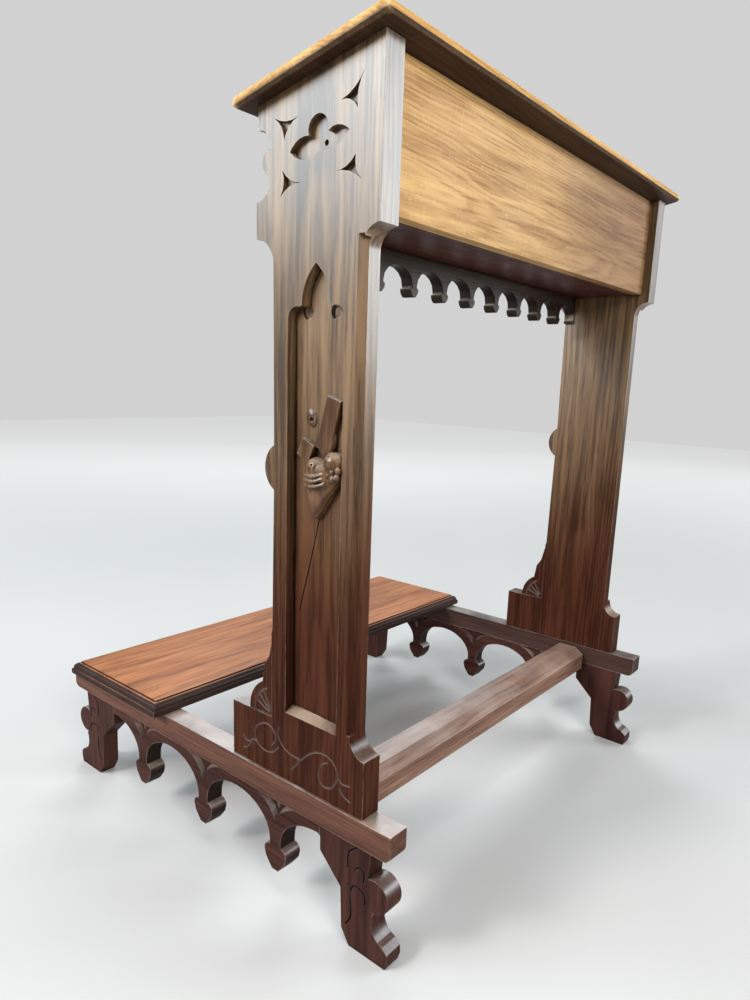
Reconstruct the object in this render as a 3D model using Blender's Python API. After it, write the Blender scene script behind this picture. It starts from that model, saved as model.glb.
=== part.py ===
"""Kneeling desk in oak: two carved side panels on sled feet, joined by a desk, a shelf and a kneeling board.

Metres, +Z up. The origin is on the floor under the middle of the sled. The kneeler is on the -Y side and
faces +Y, so the panel at +X is the kneeler's right.
"""

import math

import bmesh
import bpy
from mathutils import Matrix, Vector

GAP = 0.0003                    # clearance left between pieces that touch

SLED_HALF_LENGTH = 0.325
RAIL_OUTER_X = 0.350
RAIL_THICKNESS = 0.028
RAIL_BOTTOM_Z = 0.133
RAIL_TOP_Z = 0.165
NOSE_RADIUS = 0.009

FOOT_OUTER_X = 0.347
FOOT_THICKNESS = 0.024
FOOT_LENGTH = 0.105             # along the rail, at the top of the foot

ARCH_PITCH = 0.144
ARCH_SPRING_Z = 0.075
ARCH_RISE = 0.045
PENDANT_NECK = 0.0095           # half-width where the arch meets the pendant
PENDANT_LOBE = 0.0193           # half-width of the lobe below the neck
PENDANT_TIP = 0.0055            # half-width of the flat tip
PENDANT_DROP = 0.0405
PENDANTS_Y = (-ARCH_PITCH, 0.0, ARCH_PITCH)
ARCADE_SHIFT_Y = {1: 0.0, -1: -0.009}      # the left arcade was set out a little further forward
POCKET_DEPTH = 0.006
POCKET_TAPER = 0.62             # size of a pocket's floor against its mouth
POCKET_TOP_Z = 0.1312
POCKET_FOOT_Z = 0.1000

PANEL_OUTER_X = 0.347
PANEL_THICKNESS = 0.026
PANEL_INNER_X = PANEL_OUTER_X - PANEL_THICKNESS
PLINTH_FRONT_Y = 0.067
PLINTH_REAR_Y = 0.283
PLINTH_TOP_Z = 0.236
SHAFT_FRONT_Y = 0.1405
SHAFT_REAR_Y = 0.261
SHAFT_MIDDLE_Y = 0.201
HEAD_FRONT_Y = 0.113
HEAD_REAR_Y = 0.282
HEAD_BOTTOM_Z = 0.768
BOSS_Z = 0.531
BRACKET_REAR_Y = 0.137
BRACKET_TOP_Z = 0.338
BRACKET_SETBACK = 0.004
SILL_RISE = 0.006
TREFOIL_EYE = (0.2065, 0.8455)
CHAMFER_WIDTH = 0.0095
CHAMFER_DEPTH = 0.005
CHAMFER_BOTTOM_Z = 0.2555
CHAMFER_TOP_Z = 0.760

RECESS_DEPTH = 0.011
RECESS_HALF_WIDTH = 0.040
RECESS_SILL_Z = 0.250
RECESS_SHOULDER_Z = 0.700
RECESS_APEX_Z = 0.738
LANCET_HALF_WIDTH = 0.0195
TREFOIL_DEPTH = 0.0065
TREFOIL_Z = 0.842
SPANDREL_DEPTH = 0.005

DESK_HALF_LENGTH = 0.3632
DESK_REAR_Y = 0.299
DESK_FRONT_Y = 0.097
DESK_REAR_Z = 0.926             # underside of the desk at its rear edge
DESK_SLOPE = math.radians(10.8)
DESK_THICKNESS = 0.017

BACK_REAR_Y = 0.270
BACK_THICKNESS = 0.016
SHELF_BOTTOM_Z = 0.780
SHELF_THICKNESS = 0.014
SHELF_FRONT_Y = 0.121
HOUSING_DEPTH = 0.006           # how far the shelf and the back panel enter the side panels

VALANCE_REAR_Y = 0.155
VALANCE_THICKNESS = 0.018
VALANCE_PITCH = 0.065
VALANCE_SPRING_Z = 0.745
VALANCE_RISE = 0.020
VALANCE_DROP = 0.014

BOARD_HALF_LENGTH = 0.3665
BOARD_REAR_Y = -0.080
BOARD_FRONT_Y = -0.303
BOARD_THICKNESS = 0.0195
SCREW_Y = (-0.127, -0.223)

STRETCHER_FRONT_Y = 0.178
STRETCHER_REAR_Y = 0.231
STRETCHER_TOP_Z = 0.160
STRETCHER_BOTTOM_Z = 0.122
STRETCHER_TENON = 0.020
STRETCHER_CHAMFER = (0.015, 0.011)      # along the top and down the rear face

HEART_Y = 0.214
HEART_Z = 0.517
HEART_HEIGHT = 0.017            # above the ground of the recess
GRIP = ((0.006, 0.034), (0.018, 0.034), (0.027, 0.088), (0.012, 0.092))     # from the heart's middle
BLADE = ((-0.012, -0.030), (-0.044, -0.145), (-0.003, -0.030))

PANEL_TENON = (0.010, 0.060, 0.015, 0.010)
PANEL_TENON_Y = (0.115, 0.222)
PANEL_TENON_X = PANEL_INNER_X + PANEL_THICKNESS / 2
FOOT_MIDDLE_X = FOOT_OUTER_X - FOOT_THICKNESS / 2
DOWEL_RADIUS = 0.004
DOWEL_LENGTH = 0.030
FOOT_DOWEL_Y = (-0.270, -0.238, 0.238, 0.270)
ARCADE_DOWEL_Y = (-0.144, 0.144)
CLEAT_FRONT_Y = 0.140
CLEAT_SIZE = 0.018
DESK_SCREW_Y = (0.165, 0.230)
SCREW_X = 0.335
SCREW_RADIUS = 0.0022
PLUG_RADIUS = 0.0055
PLUG_FLOOR_Z = RAIL_TOP_Z + 0.010

OAK_GREY = (0.30, 0.25, 0.19, 1)
OAK_BROWN = (0.16, 0.085, 0.045, 1)
OAK_RED = (0.085, 0.032, 0.022, 1)
OAK_GOLD = (0.42, 0.25, 0.11, 1)
OAK_WORN = (0.36, 0.19, 0.11, 1)
DARK_STEEL = (0.10, 0.10, 0.10, 1)


def clear_scene():
    for item in list(bpy.data.objects):
        bpy.data.objects.remove(item, do_unlink=True)


def material(name, colour, roughness=0.5, metallic=0.0):
    finish = bpy.data.materials.get(name)
    if finish is None:
        finish = bpy.data.materials.new(name)
        finish.use_nodes = True
        shader = finish.node_tree.nodes["Principled BSDF"]
        shader.inputs["Base Color"].default_value = colour
        shader.inputs["Roughness"].default_value = roughness
        shader.inputs["Metallic"].default_value = metallic
    return finish


def add_object(name, bm, finish=None):
    bmesh.ops.recalc_face_normals(bm, faces=bm.faces)
    mesh = bpy.data.meshes.new(name)
    bm.to_mesh(mesh)
    bm.free()
    piece = bpy.data.objects.new(name, mesh)
    bpy.context.scene.collection.objects.link(piece)
    if finish is not None:
        mesh.materials.append(finish)
    return piece


def helper(name, bm):
    """A cutter, or a block to be united with a piece: it isn't a piece itself."""
    block = add_object(name, bm)
    block.hide_render = True
    block.display_type = "WIRE"
    return block


def prism(outline, start, end, across="X", taper=1.0):
    """An outline extruded from start to end: as (y, z) along X, as (x, z) along Y, or as (x, y) along Z.
    taper is the size of the outline at the end, about its middle."""
    axis = "XYZ".index(across)
    bm = bmesh.new()
    corners = []
    for point in outline:
        place = list(point)
        place.insert(axis, start)
        corners.append(bm.verts.new(place))
    grown = bmesh.ops.extrude_face_region(bm, geom=[bm.faces.new(corners)])
    step = Vector()
    step[axis] = end - start
    moved = [v for v in grown["geom"] if isinstance(v, bmesh.types.BMVert)]
    middle = sum((v.co for v in moved), Vector()) / len(moved)
    for v in moved:
        v.co = middle + (v.co - middle) * taper + step
    return bm


def block(low, high):
    bm = bmesh.new()
    size = Vector(high) - Vector(low)
    middle = (Vector(high) + Vector(low)) / 2
    bmesh.ops.create_cube(bm, size=1, matrix=Matrix.Translation(middle) @ Matrix.Diagonal((*size, 1)))
    return bm


def rod(middle, radius, length, axis="Z", sides=12):
    turn = {"X": Matrix.Rotation(math.pi / 2, 4, "Y"), "Y": Matrix.Rotation(math.pi / 2, 4, "X")}
    bm = bmesh.new()
    bmesh.ops.create_cone(
        bm, cap_ends=True, segments=sides, radius1=radius, radius2=radius, depth=length,
        matrix=Matrix.Translation(middle) @ turn.get(axis, Matrix.Identity(4)),
    )
    return bm


def merged(parts):
    """Several separate closed shapes in one bmesh."""
    whole = bmesh.new()
    for part in parts:
        mesh = bpy.data.meshes.new("part")
        part.to_mesh(mesh)
        part.free()
        whole.from_mesh(mesh)
        bpy.data.meshes.remove(mesh)
    return whole


def change(piece, tool, operation):
    modifier = piece.modifiers.new(tool.name, "BOOLEAN")
    modifier.operation = operation
    modifier.object = tool


def cut(piece, tool):
    change(piece, tool, "DIFFERENCE")


def unite(piece, tool):
    change(piece, tool, "UNION")


def arc(centre, radius, start, end, steps):
    """Points on a circle from one angle to another, in degrees."""
    points = []
    for i in range(steps + 1):
        angle = math.radians(start + (end - start) * i / steps)
        points.append((centre[0] + radius * math.cos(angle), centre[1] + radius * math.sin(angle)))
    return points


def bulge(start, end, height, steps):
    """Points after start, up to and with end, on an arc that bulges to the left of the way by height."""
    (x0, y0), (x1, y1) = start, end
    length = math.hypot(x1 - x0, y1 - y0)
    normal = (-(y1 - y0) / length, (x1 - x0) / length)
    points = []
    for i in range(1, steps + 1):
        t = i / steps
        lift = 4 * height * t * (1 - t)
        points.append((x0 + (x1 - x0) * t + normal[0] * lift, y0 + (y1 - y0) * t + normal[1] * lift))
    return points


def desk_underside_z(y):
    return DESK_REAR_Z + (y - DESK_REAR_Y) * math.tan(DESK_SLOPE)


def side_panel_outline():
    """The silhouette of a side panel in (y, z), from the plinth's front foot round to the head and back."""
    outline = [(PLINTH_FRONT_Y, RAIL_TOP_Z + GAP), (PLINTH_REAR_Y, RAIL_TOP_Z + GAP)]
    outline += [(PLINTH_REAR_Y, PLINTH_TOP_Z - 0.003)]
    outline += arc((PLINTH_REAR_Y, PLINTH_TOP_Z + 0.019), 0.022, 270, 180, 7)[1:]
    outline += arc((HEAD_REAR_Y, HEAD_BOTTOM_Z - 0.021), 0.021, 180, 90, 7)
    outline += [(HEAD_REAR_Y, desk_underside_z(HEAD_REAR_Y) - GAP)]
    outline += [(HEAD_FRONT_Y + 0.003, desk_underside_z(HEAD_FRONT_Y + 0.003) - GAP)]
    outline += arc((HEAD_FRONT_Y + 0.003, 0.850), 0.019, 90, 0, 6)
    outline += arc((0.133, 0.838), 0.0115, 80, 210, 8)
    outline += [(0.127, 0.8275), (0.132, 0.826), (0.133, 0.814)]
    outline += bulge((0.133, 0.814), (HEAD_FRONT_Y, 0.8015), 0.003, 4)
    outline += arc((HEAD_FRONT_Y, 0.740), 0.026, 90, 0, 8)
    half = math.degrees(math.asin(0.0245 / 0.028))
    boss_middle = (SHAFT_FRONT_Y + 0.028 * math.cos(math.radians(half)), BOSS_Z)
    outline += arc(boss_middle, 0.028, 180 - half, 180 + half, 12)
    outline += [(SHAFT_FRONT_Y - 0.002, 0.345), (0.134, 0.331), (0.1285, 0.309), (0.1205, 0.297)]
    outline += arc((BRACKET_REAR_Y, PLINTH_TOP_Z), 0.043, 118, 180, 8)
    outline += [(PLINTH_FRONT_Y, PLINTH_TOP_Z)]
    return outline


def recess_outlines():
    """The recess in a shaft: a wide panel with round shoulders, a narrow pointed head and two drilled eyes."""
    middle, shoulder, half = SHAFT_MIDDLE_Y, RECESS_SHOULDER_Z, RECESS_HALF_WIDTH
    left = [(middle - half, RECESS_SILL_Z)]
    left += arc((middle - half + 0.013, shoulder - 0.015), 0.013, 180, 50, 8)
    panel = left + [(2 * middle - y, z) for y, z in reversed(left)]
    wall_y = middle - LANCET_HALF_WIDTH
    wall = [(wall_y, shoulder - 0.010), (wall_y, shoulder + 0.002)]
    wall += bulge(wall[-1], (middle, RECESS_APEX_Z), 0.0045, 6)[:-1]
    head = wall + [(middle, RECESS_APEX_Z)] + [(2 * middle - y, z) for y, z in reversed(wall)]
    eyes = [arc((middle + offset, shoulder - 0.007), 0.0058, 0, 330, 11)
            for offset in (-LANCET_HALF_WIDTH, LANCET_HALF_WIDTH)]
    return panel, head, eyes


def trefoil_outline():
    """A round lobe over two long lobes that point to the sides."""
    y, z = SHAFT_MIDDLE_Y, TREFOIL_Z
    tip_front, tip_rear = (y - 0.0385, z), (y + 0.0405, z + 0.008)
    waist_front, waist_rear = (y - 0.0125, z + 0.011), (y + 0.0135, z + 0.012)
    foot_point = (y + 0.003, z - 0.0035)
    outline = arc((y + 0.0005, z + 0.0145), 0.0135, 195, -15, 10)
    outline += bulge(waist_rear, tip_rear, 0.0040, 5)
    outline += bulge(tip_rear, foot_point, 0.0065, 6)
    outline += bulge(foot_point, tip_front, 0.0080, 6)
    outline += bulge(tip_front, waist_front, 0.0040, 5)[:-1]
    return outline


def spandrel_outlines():
    """Four small triangles with hollow sides, one in each corner round the trefoil."""
    y0, z0 = SHAFT_MIDDLE_Y, TREFOIL_Z
    corners = [
        [(-0.061, 0.034), (-0.027, 0.030), (-0.047, 0.012)],
        [(0.058, 0.054), (0.050, 0.024), (0.030, 0.034)],
        [(-0.049, -0.015), (-0.023, -0.029), (-0.052, -0.039)],
        [(0.049, -0.014), (0.057, -0.036), (0.023, -0.025)],
    ]
    outlines = []
    for triangle in corners:
        points = [(y0 + y, z0 + z) for y, z in triangle]
        outline = []
        for start, end in zip(points, points[1:] + points[:1]):
            outline += bulge(start, end, -0.0035, 4)
        outlines.append(outline)
    return outlines


def layer(outlines, side, depth):
    """Cutters that sink the outlines into a panel's outer face to this depth."""
    floor, beyond = side * (PANEL_OUTER_X - depth), side * (PANEL_OUTER_X + 0.010)
    return merged([prism(outline, floor, beyond) for outline in outlines])


def side_panel(name, side):
    """side is 1 for the panel at +X and -1 for its mirror image."""
    finish = material("oak_panel", OAK_GREY, 0.45)
    panel = add_object(name, prism(side_panel_outline(), side * PANEL_INNER_X, side * PANEL_OUTER_X), finish)

    tenons = [block_at(side * PANEL_TENON_X, y, RAIL_TOP_Z, PANEL_TENON) for y in PANEL_TENON_Y]
    unite(panel, helper(name + "_tenons", merged(tenons)))

    wide, head, eyes = recess_outlines()
    cut(panel, helper(name + "_recess", layer([wide], side, RECESS_DEPTH)))
    cut(panel, helper(name + "_lancet", layer([head], side, RECESS_DEPTH)))
    cut(panel, helper(name + "_eyes", layer(eyes, side, RECESS_DEPTH + 0.002)))
    cut(panel, helper(name + "_trefoil", layer([trefoil_outline()], side, TREFOIL_DEPTH)))
    cut(panel, helper(name + "_spandrels", layer(spandrel_outlines(), side, SPANDREL_DEPTH)))

    bracket = [
        (PLINTH_FRONT_Y - 0.01, PLINTH_TOP_Z + GAP), (BRACKET_REAR_Y, PLINTH_TOP_Z + GAP),
        (BRACKET_REAR_Y, BRACKET_TOP_Z), (PLINTH_FRONT_Y - 0.01, BRACKET_TOP_Z),
    ]
    for face, away in ((PANEL_OUTER_X, 1), (PANEL_INNER_X, -1)):
        setback = prism(bracket, side * (face - away * BRACKET_SETBACK), side * (face + away * 0.005))
        cut(panel, helper(f"{name}_bracket_{away}", setback))
    hole = rod((side * (PANEL_OUTER_X - TREFOIL_DEPTH), *TREFOIL_EYE), 0.0028, 0.012, axis="X")
    cut(panel, helper(name + "_trefoil_eye", hole))

    outer = PANEL_OUTER_X
    ground = outer - RECESS_DEPTH - 0.001
    sill = [
        (side * outer, RECESS_SILL_Z - 0.004), (side * ground, RECESS_SILL_Z - 0.004),
        (side * ground, RECESS_SILL_Z + SILL_RISE), (side * outer, RECESS_SILL_Z),
    ]
    low_y, high_y = SHAFT_MIDDLE_Y - RECESS_HALF_WIDTH - 0.001, SHAFT_MIDDLE_Y + RECESS_HALF_WIDTH + 0.001
    unite(panel, helper(name + "_sill", prism(sill, low_y, high_y, across="Y")))

    edge = [
        (side * outer, SHAFT_REAR_Y - CHAMFER_DEPTH),
        (side * (outer - CHAMFER_WIDTH), SHAFT_REAR_Y),
        (side * (outer - CHAMFER_WIDTH), SHAFT_REAR_Y + 0.003),
        (side * (outer + 0.003), SHAFT_REAR_Y + 0.003),
        (side * (outer + 0.003), SHAFT_REAR_Y - CHAMFER_DEPTH),
    ]
    cut(panel, helper(name + "_chamfer", prism(edge, CHAMFER_BOTTOM_Z, CHAMFER_TOP_Z, across="Z")))

    low = side * (PANEL_INNER_X - 0.003)
    high = side * (PANEL_INNER_X + HOUSING_DEPTH + GAP)
    groove = block(
        (low, BACK_REAR_Y - BACK_THICKNESS - GAP, SHELF_BOTTOM_Z - GAP),
        (high, BACK_REAR_Y + GAP, DESK_REAR_Z + 0.01),
    )
    housing = block(
        (low, SHELF_FRONT_Y - GAP, SHELF_BOTTOM_Z - GAP),
        (high, BACK_REAR_Y, SHELF_BOTTOM_Z + SHELF_THICKNESS + GAP),
    )
    cut(panel, helper(name + "_groove", groove))
    cut(panel, helper(name + "_housing", housing))
    return panel


def heart_outline():
    """A heart leaning towards the rear: two round lobes at the top, and a blunt point at the bottom."""
    front_lobe = arc((HEART_Y - 0.009, HEART_Z + 0.006), 0.017, 50, 195, 7)
    rear_lobe = arc((HEART_Y + 0.011, HEART_Z + 0.019), 0.016, -10, 130, 7)
    tip = [(HEART_Y + y, HEART_Z + z) for y, z in ((-0.012, -0.034), (-0.004, -0.036), (0.006, -0.030))]
    return rear_lobe + front_lobe + tip


def heart_carving(name, side):
    """The carved heart glued in the recess, with the grip and the blade of the sword that goes through it."""
    ground = side * (PANEL_OUTER_X - RECESS_DEPTH)
    low = ground + side * GAP
    finish = material("oak_carving", OAK_BROWN, 0.35)
    carving = add_object(name, prism(heart_outline(), low, ground + side * HEART_HEIGHT), finish)
    rounding = carving.modifiers.new("rounding", "BEVEL")
    rounding.width = 0.005
    rounding.segments = 2
    grip = [(HEART_Y + y, HEART_Z + z) for y, z in GRIP]
    blade = [(HEART_Y + y, HEART_Z + z) for y, z in BLADE]
    unite(carving, helper(name + "_grip", prism(grip, low, ground + side * 0.010)))
    unite(carving, helper(name + "_blade", prism(blade, low, ground + side * 0.004)))
    return carving


def dowel_holes(side, places_y):
    radius, length = DOWEL_RADIUS + GAP, DOWEL_LENGTH + 2 * GAP
    return merged([rod((side * FOOT_MIDDLE_X, y, RAIL_BOTTOM_Z), radius, length) for y in places_y])


def rail(name, side):
    """A sled rail, with a round nose under each end and mortises for the panel and the stretcher."""
    outer, inner = side * RAIL_OUTER_X, side * (RAIL_OUTER_X - RAIL_THICKNESS)
    half, bottom = SLED_HALF_LENGTH, RAIL_BOTTOM_Z
    nose = arc((half - NOSE_RADIUS, bottom + NOSE_RADIUS), NOSE_RADIUS, 270, 360, 5) + [(half, RAIL_TOP_Z)]
    outline = nose + [(-y, z) for y, z in reversed(nose)]
    beam = add_object(name, prism(outline, inner, outer), material("oak_sled", OAK_BROWN, 0.4))

    mortises = [block_at(side * PANEL_TENON_X, y, RAIL_TOP_Z, PANEL_TENON, GAP) for y in PANEL_TENON_Y]
    cut(beam, helper(name + "_mortises", merged(mortises)))
    cut(beam, helper(name + "_stretcher_mortise", stretcher_tenon(side, GAP)))
    cut(beam, helper(name + "_dowel_holes", dowel_holes(side, FOOT_DOWEL_Y + ARCADE_DOWEL_Y)))
    screws = [rod((side * SCREW_X, y, RAIL_TOP_Z), SCREW_RADIUS + GAP, 0.040) for y in SCREW_Y]
    cut(beam, helper(name + "_screw_holes", merged(screws)))
    return beam


def pendant_outline(middle, spring_z, neck, lobe, tip, drop):
    """One pendant from its left neck round its tip to its right neck."""
    left = [(middle - neck, spring_z)]
    left += arc((middle - neck, spring_z - drop * 0.42), lobe - neck, 90, 180, 4)
    left += [(middle - lobe * 0.86, spring_z - drop * 0.66), (middle - tip, spring_z - drop)]
    return left + [(2 * middle - u, z) for u, z in reversed(left)]


def arch(start, end, spring_z, rise, steps):
    """The inside of a round arch, between two points at the spring line."""
    middle, half = (start + end) / 2, (end - start) / 2
    points = []
    for i in range(1, steps):
        angle = math.pi * (1 - i / steps)
        points.append((middle + half * math.cos(angle), spring_z + rise * math.sin(angle)))
    return points


def arcade_outline(pendants_y):
    """The board with the pointed pendants that hangs between two feet: three pendants and four arches."""
    end = SLED_HALF_LENGTH - FOOT_LENGTH - GAP
    top = RAIL_BOTTOM_Z - GAP
    end_z = ARCH_SPRING_Z + ARCH_RISE - 0.0025
    outline = [(-end, top), (-end, end_z)]
    first = pendants_y[0] - ARCH_PITCH
    span = arch(first + PENDANT_NECK, pendants_y[0] - PENDANT_NECK, ARCH_SPRING_Z, ARCH_RISE, 16)
    outline += [point for point in span if point[0] > -end]
    for middle in pendants_y:
        outline += pendant_outline(
            middle, ARCH_SPRING_Z, PENDANT_NECK, PENDANT_LOBE, PENDANT_TIP, PENDANT_DROP
        )
        following = middle + ARCH_PITCH
        span = arch(middle + PENDANT_NECK, following - PENDANT_NECK, ARCH_SPRING_Z, ARCH_RISE, 16)
        outline += [point for point in span if point[0] < end]
    outline += [(end, end_z), (end, top)]
    return outline


def arcade(name, side):
    inner = side * (FOOT_OUTER_X - FOOT_THICKNESS)
    pendants_y = [y + ARCADE_SHIFT_Y[side] for y in PENDANTS_Y]
    board = prism(arcade_outline(pendants_y), inner, side * FOOT_OUTER_X)
    piece = add_object(name, board, material("oak_sled", OAK_BROWN, 0.4))
    for face, away in ((FOOT_OUTER_X, 1), (FOOT_OUTER_X - FOOT_THICKNESS, -1)):
        mouth, floor = side * (face + away * 0.001), side * (face - away * POCKET_DEPTH)
        pockets = [prism(spandrel_pocket(y), mouth, floor, taper=POCKET_TAPER) for y in pendants_y]
        cut(piece, helper(f"{name}_pockets_{away}", merged(pockets)))
    cut(piece, helper(name + "_dowel_holes", dowel_holes(side, ARCADE_DOWEL_Y)))
    return piece


def spandrel_pocket(middle):
    """The hollow-sided triangle sunk between two arches, over a pendant."""
    front, rear = (middle - 0.038, POCKET_TOP_Z), (middle + 0.038, POCKET_TOP_Z)
    foot_point = (middle, POCKET_FOOT_Z)
    outline = bulge(front, foot_point, 0.0060, 5)
    outline += bulge(foot_point, rear, 0.0060, 5)
    outline += bulge(rear, front, -0.0040, 4)
    return outline


def foot_outline(end):
    """A foot at the end of the sled, in (y, z): end is 1 for the rear foot and -1 for the front foot."""
    half = SLED_HALF_LENGTH
    top = RAIL_BOTTOM_Z - GAP
    outline = [(half - FOOT_LENGTH, top), (half - FOOT_LENGTH + 0.0005, 0.100)]
    outline += [(half - 0.0715, 0.069), (half - 0.0690, 0.018), (half - 0.0570, 0.0)]
    outline += [(half - 0.0035, 0.0), (half - 0.0005, 0.0090)]
    outline += [(half - 0.0010, 0.0190), (half - 0.0085, 0.0255)]
    outline += arc((half - 0.0010, 0.0470), 0.024, 235, 150, 6)
    outline += arc((half - 0.0220, 0.0812), 0.0200, 262, 477, 14)
    outline += [(half - 0.0280, top)]
    return [(end * y, z) for y, z in outline]


def foot(name, side, end):
    inner = side * (FOOT_OUTER_X - FOOT_THICKNESS)
    board = prism(foot_outline(end), inner, side * FOOT_OUTER_X)
    piece = add_object(name, board, material("oak_sled", OAK_BROWN, 0.4))
    cut(piece, helper(name + "_dowel_holes", dowel_holes(side, [y for y in FOOT_DOWEL_Y if y * end > 0])))
    return piece


def stretcher_tenon(side, clearance=0.0):
    """The tenon of the stretcher, or with a clearance the mortise that takes it."""
    face = RAIL_OUTER_X - RAIL_THICKNESS
    low = (
        side * (face - 0.010),
        STRETCHER_FRONT_Y + 0.008 - clearance,
        STRETCHER_BOTTOM_Z + 0.016 - clearance,
    )
    high = (
        side * (face + STRETCHER_TENON + clearance),
        STRETCHER_REAR_Y - 0.008 + clearance,
        STRETCHER_TOP_Z - 0.012 + clearance,
    )
    return block(low, high)


def stretcher():
    """The rail that ties the two sleds together under the desk, with a worn bevel along its rear edge."""
    end = RAIL_OUTER_X - RAIL_THICKNESS - GAP
    front, rear, top, bottom = STRETCHER_FRONT_Y, STRETCHER_REAR_Y, STRETCHER_TOP_Z, STRETCHER_BOTTOM_Z
    across, down = STRETCHER_CHAMFER
    outline = [
        (front, bottom), (rear, bottom), (rear, top - down), (rear - across, top),
        (front + 0.006, top), (front, top - 0.005),
    ]
    piece = add_object("stretcher", prism(outline, -end, end), material("oak_worn", OAK_WORN, 0.5))
    for side, label in ((1, "right"), (-1, "left")):
        unite(piece, helper(label + "_stretcher_tenon", stretcher_tenon(side)))
    return piece


def moulded_board(layers, low, high):
    """A board from low to high in (x, y) with a moulding all round. layers are (inset, height), upwards."""
    bm = bmesh.new()
    rings = []
    for inset, height in layers:
        corners = [
            (low[0] + inset, low[1] + inset), (high[0] - inset, low[1] + inset),
            (high[0] - inset, high[1] - inset), (low[0] + inset, high[1] - inset),
        ]
        rings.append([bm.verts.new((x, y, height)) for x, y in corners])
    for lower, upper in zip(rings, rings[1:]):
        for i in range(4):
            j = (i + 1) % 4
            bm.faces.new((lower[i], lower[j], upper[j], upper[i]))
    bm.faces.new(rings[0])
    bm.faces.new(rings[-1])
    return bm


def kneeling_board():
    """A flat board with a moulded edge, screwed down to the rails."""
    bottom = RAIL_TOP_Z + GAP
    top = bottom + BOARD_THICKNESS
    layers = [(0.001, 0.0), (0.0, 0.001), (0.0, 0.0075), (0.0010, 0.0085), (0.0022, 0.0088)]
    layers += [(0.0022 + u, 0.0098 + h) for u, h in arc((0.0075, 0.0), 0.0075, 180, 95, 6)]
    layers += [(0.0105, 0.0172), (0.0108, BOARD_THICKNESS)]
    layers = [(inset, bottom + height) for inset, height in layers]
    bm = moulded_board(layers, (-BOARD_HALF_LENGTH, BOARD_FRONT_Y), (BOARD_HALF_LENGTH, BOARD_REAR_Y))
    board = add_object("kneeling_board", bm, material("oak_worn", OAK_WORN, 0.5))
    places = [(side * SCREW_X, y) for side in (-1, 1) for y in SCREW_Y]
    holes = [rod((x, y, bottom), SCREW_RADIUS + GAP, 0.060) for x, y in places]
    cut(board, helper("board_screw_holes", merged(holes)))
    depth = top - PLUG_FLOOR_Z
    bores = [rod((x, y, top), PLUG_RADIUS + GAP, 2 * depth, sides=16) for x, y in places]
    cut(board, helper("board_plug_holes", merged(bores)))
    return board


def board_fasteners():
    """The screws that hold the kneeling board down to the rails, and the wooden plugs over their heads."""
    steel = material("dark_steel", DARK_STEEL, 0.4, 1.0)
    wood = material("oak_worn", OAK_WORN, 0.5)
    head_z, top_z = PLUG_FLOOR_Z, RAIL_TOP_Z + GAP + BOARD_THICKNESS
    for side, label in ((1, "right"), (-1, "left")):
        for y, place in zip(SCREW_Y, ("rear", "front")):
            name = place + "_" + label
            screw = rod((side * SCREW_X, y, head_z - 0.0125), SCREW_RADIUS, 0.025)
            add_object("board_screw_" + name, screw, steel)
            plug_low = head_z + GAP
            plug = rod((side * SCREW_X, y, (plug_low + top_z) / 2), PLUG_RADIUS, top_z - plug_low, sides=16)
            add_object("board_plug_" + name, plug, wood)


def dowel(name, side, y):
    pin = rod((side * FOOT_MIDDLE_X, y, RAIL_BOTTOM_Z), DOWEL_RADIUS, DOWEL_LENGTH)
    return add_object(name, pin, material("oak_sled", OAK_BROWN, 0.4))


def desk_top():
    """The sloping board, with a round moulding worked along its edges."""
    depth = (DESK_REAR_Y - DESK_FRONT_Y) / math.cos(DESK_SLOPE)
    layers = [(0.0025, 0.0), (0.0, 0.003), (0.0, 0.007), (0.002, 0.0115), (0.006, 0.0145)]
    layers += [(0.011, DESK_THICKNESS)]
    bm = moulded_board(layers, (-DESK_HALF_LENGTH, -depth), (DESK_HALF_LENGTH, 0.0))
    place = Matrix.Translation((0, DESK_REAR_Y, DESK_REAR_Z)) @ Matrix.Rotation(DESK_SLOPE, 4, "X")
    bmesh.ops.transform(bm, matrix=place, verts=bm.verts)
    desk = add_object("desk_top", bm, material("oak_desk", OAK_GOLD, 0.4))
    holes = [desk_screw(side, y, GAP) for side in (-1, 1) for y in DESK_SCREW_Y]
    cut(desk, helper("desk_screw_holes", merged(holes)))
    return desk


def back_panel():
    """The board that closes the back of the desk, in grooves in the side panels."""
    end = PANEL_INNER_X + HOUSING_DEPTH
    front = BACK_REAR_Y - BACK_THICKNESS
    outline = [
        (front, SHELF_BOTTOM_Z), (BACK_REAR_Y, SHELF_BOTTOM_Z),
        (BACK_REAR_Y, desk_underside_z(BACK_REAR_Y) - GAP), (front, desk_underside_z(front) - GAP),
    ]
    return add_object("back_panel", prism(outline, -end, end), material("oak_back", OAK_GOLD, 0.35))


def shelf_board():
    end = PANEL_INNER_X + HOUSING_DEPTH
    rear = BACK_REAR_Y - BACK_THICKNESS - GAP
    low = (-end, SHELF_FRONT_Y, SHELF_BOTTOM_Z)
    board = block(low, (end, rear, SHELF_BOTTOM_Z + SHELF_THICKNESS))
    return add_object("shelf_board", board, material("oak_shelf", OAK_RED, 0.45))


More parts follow.
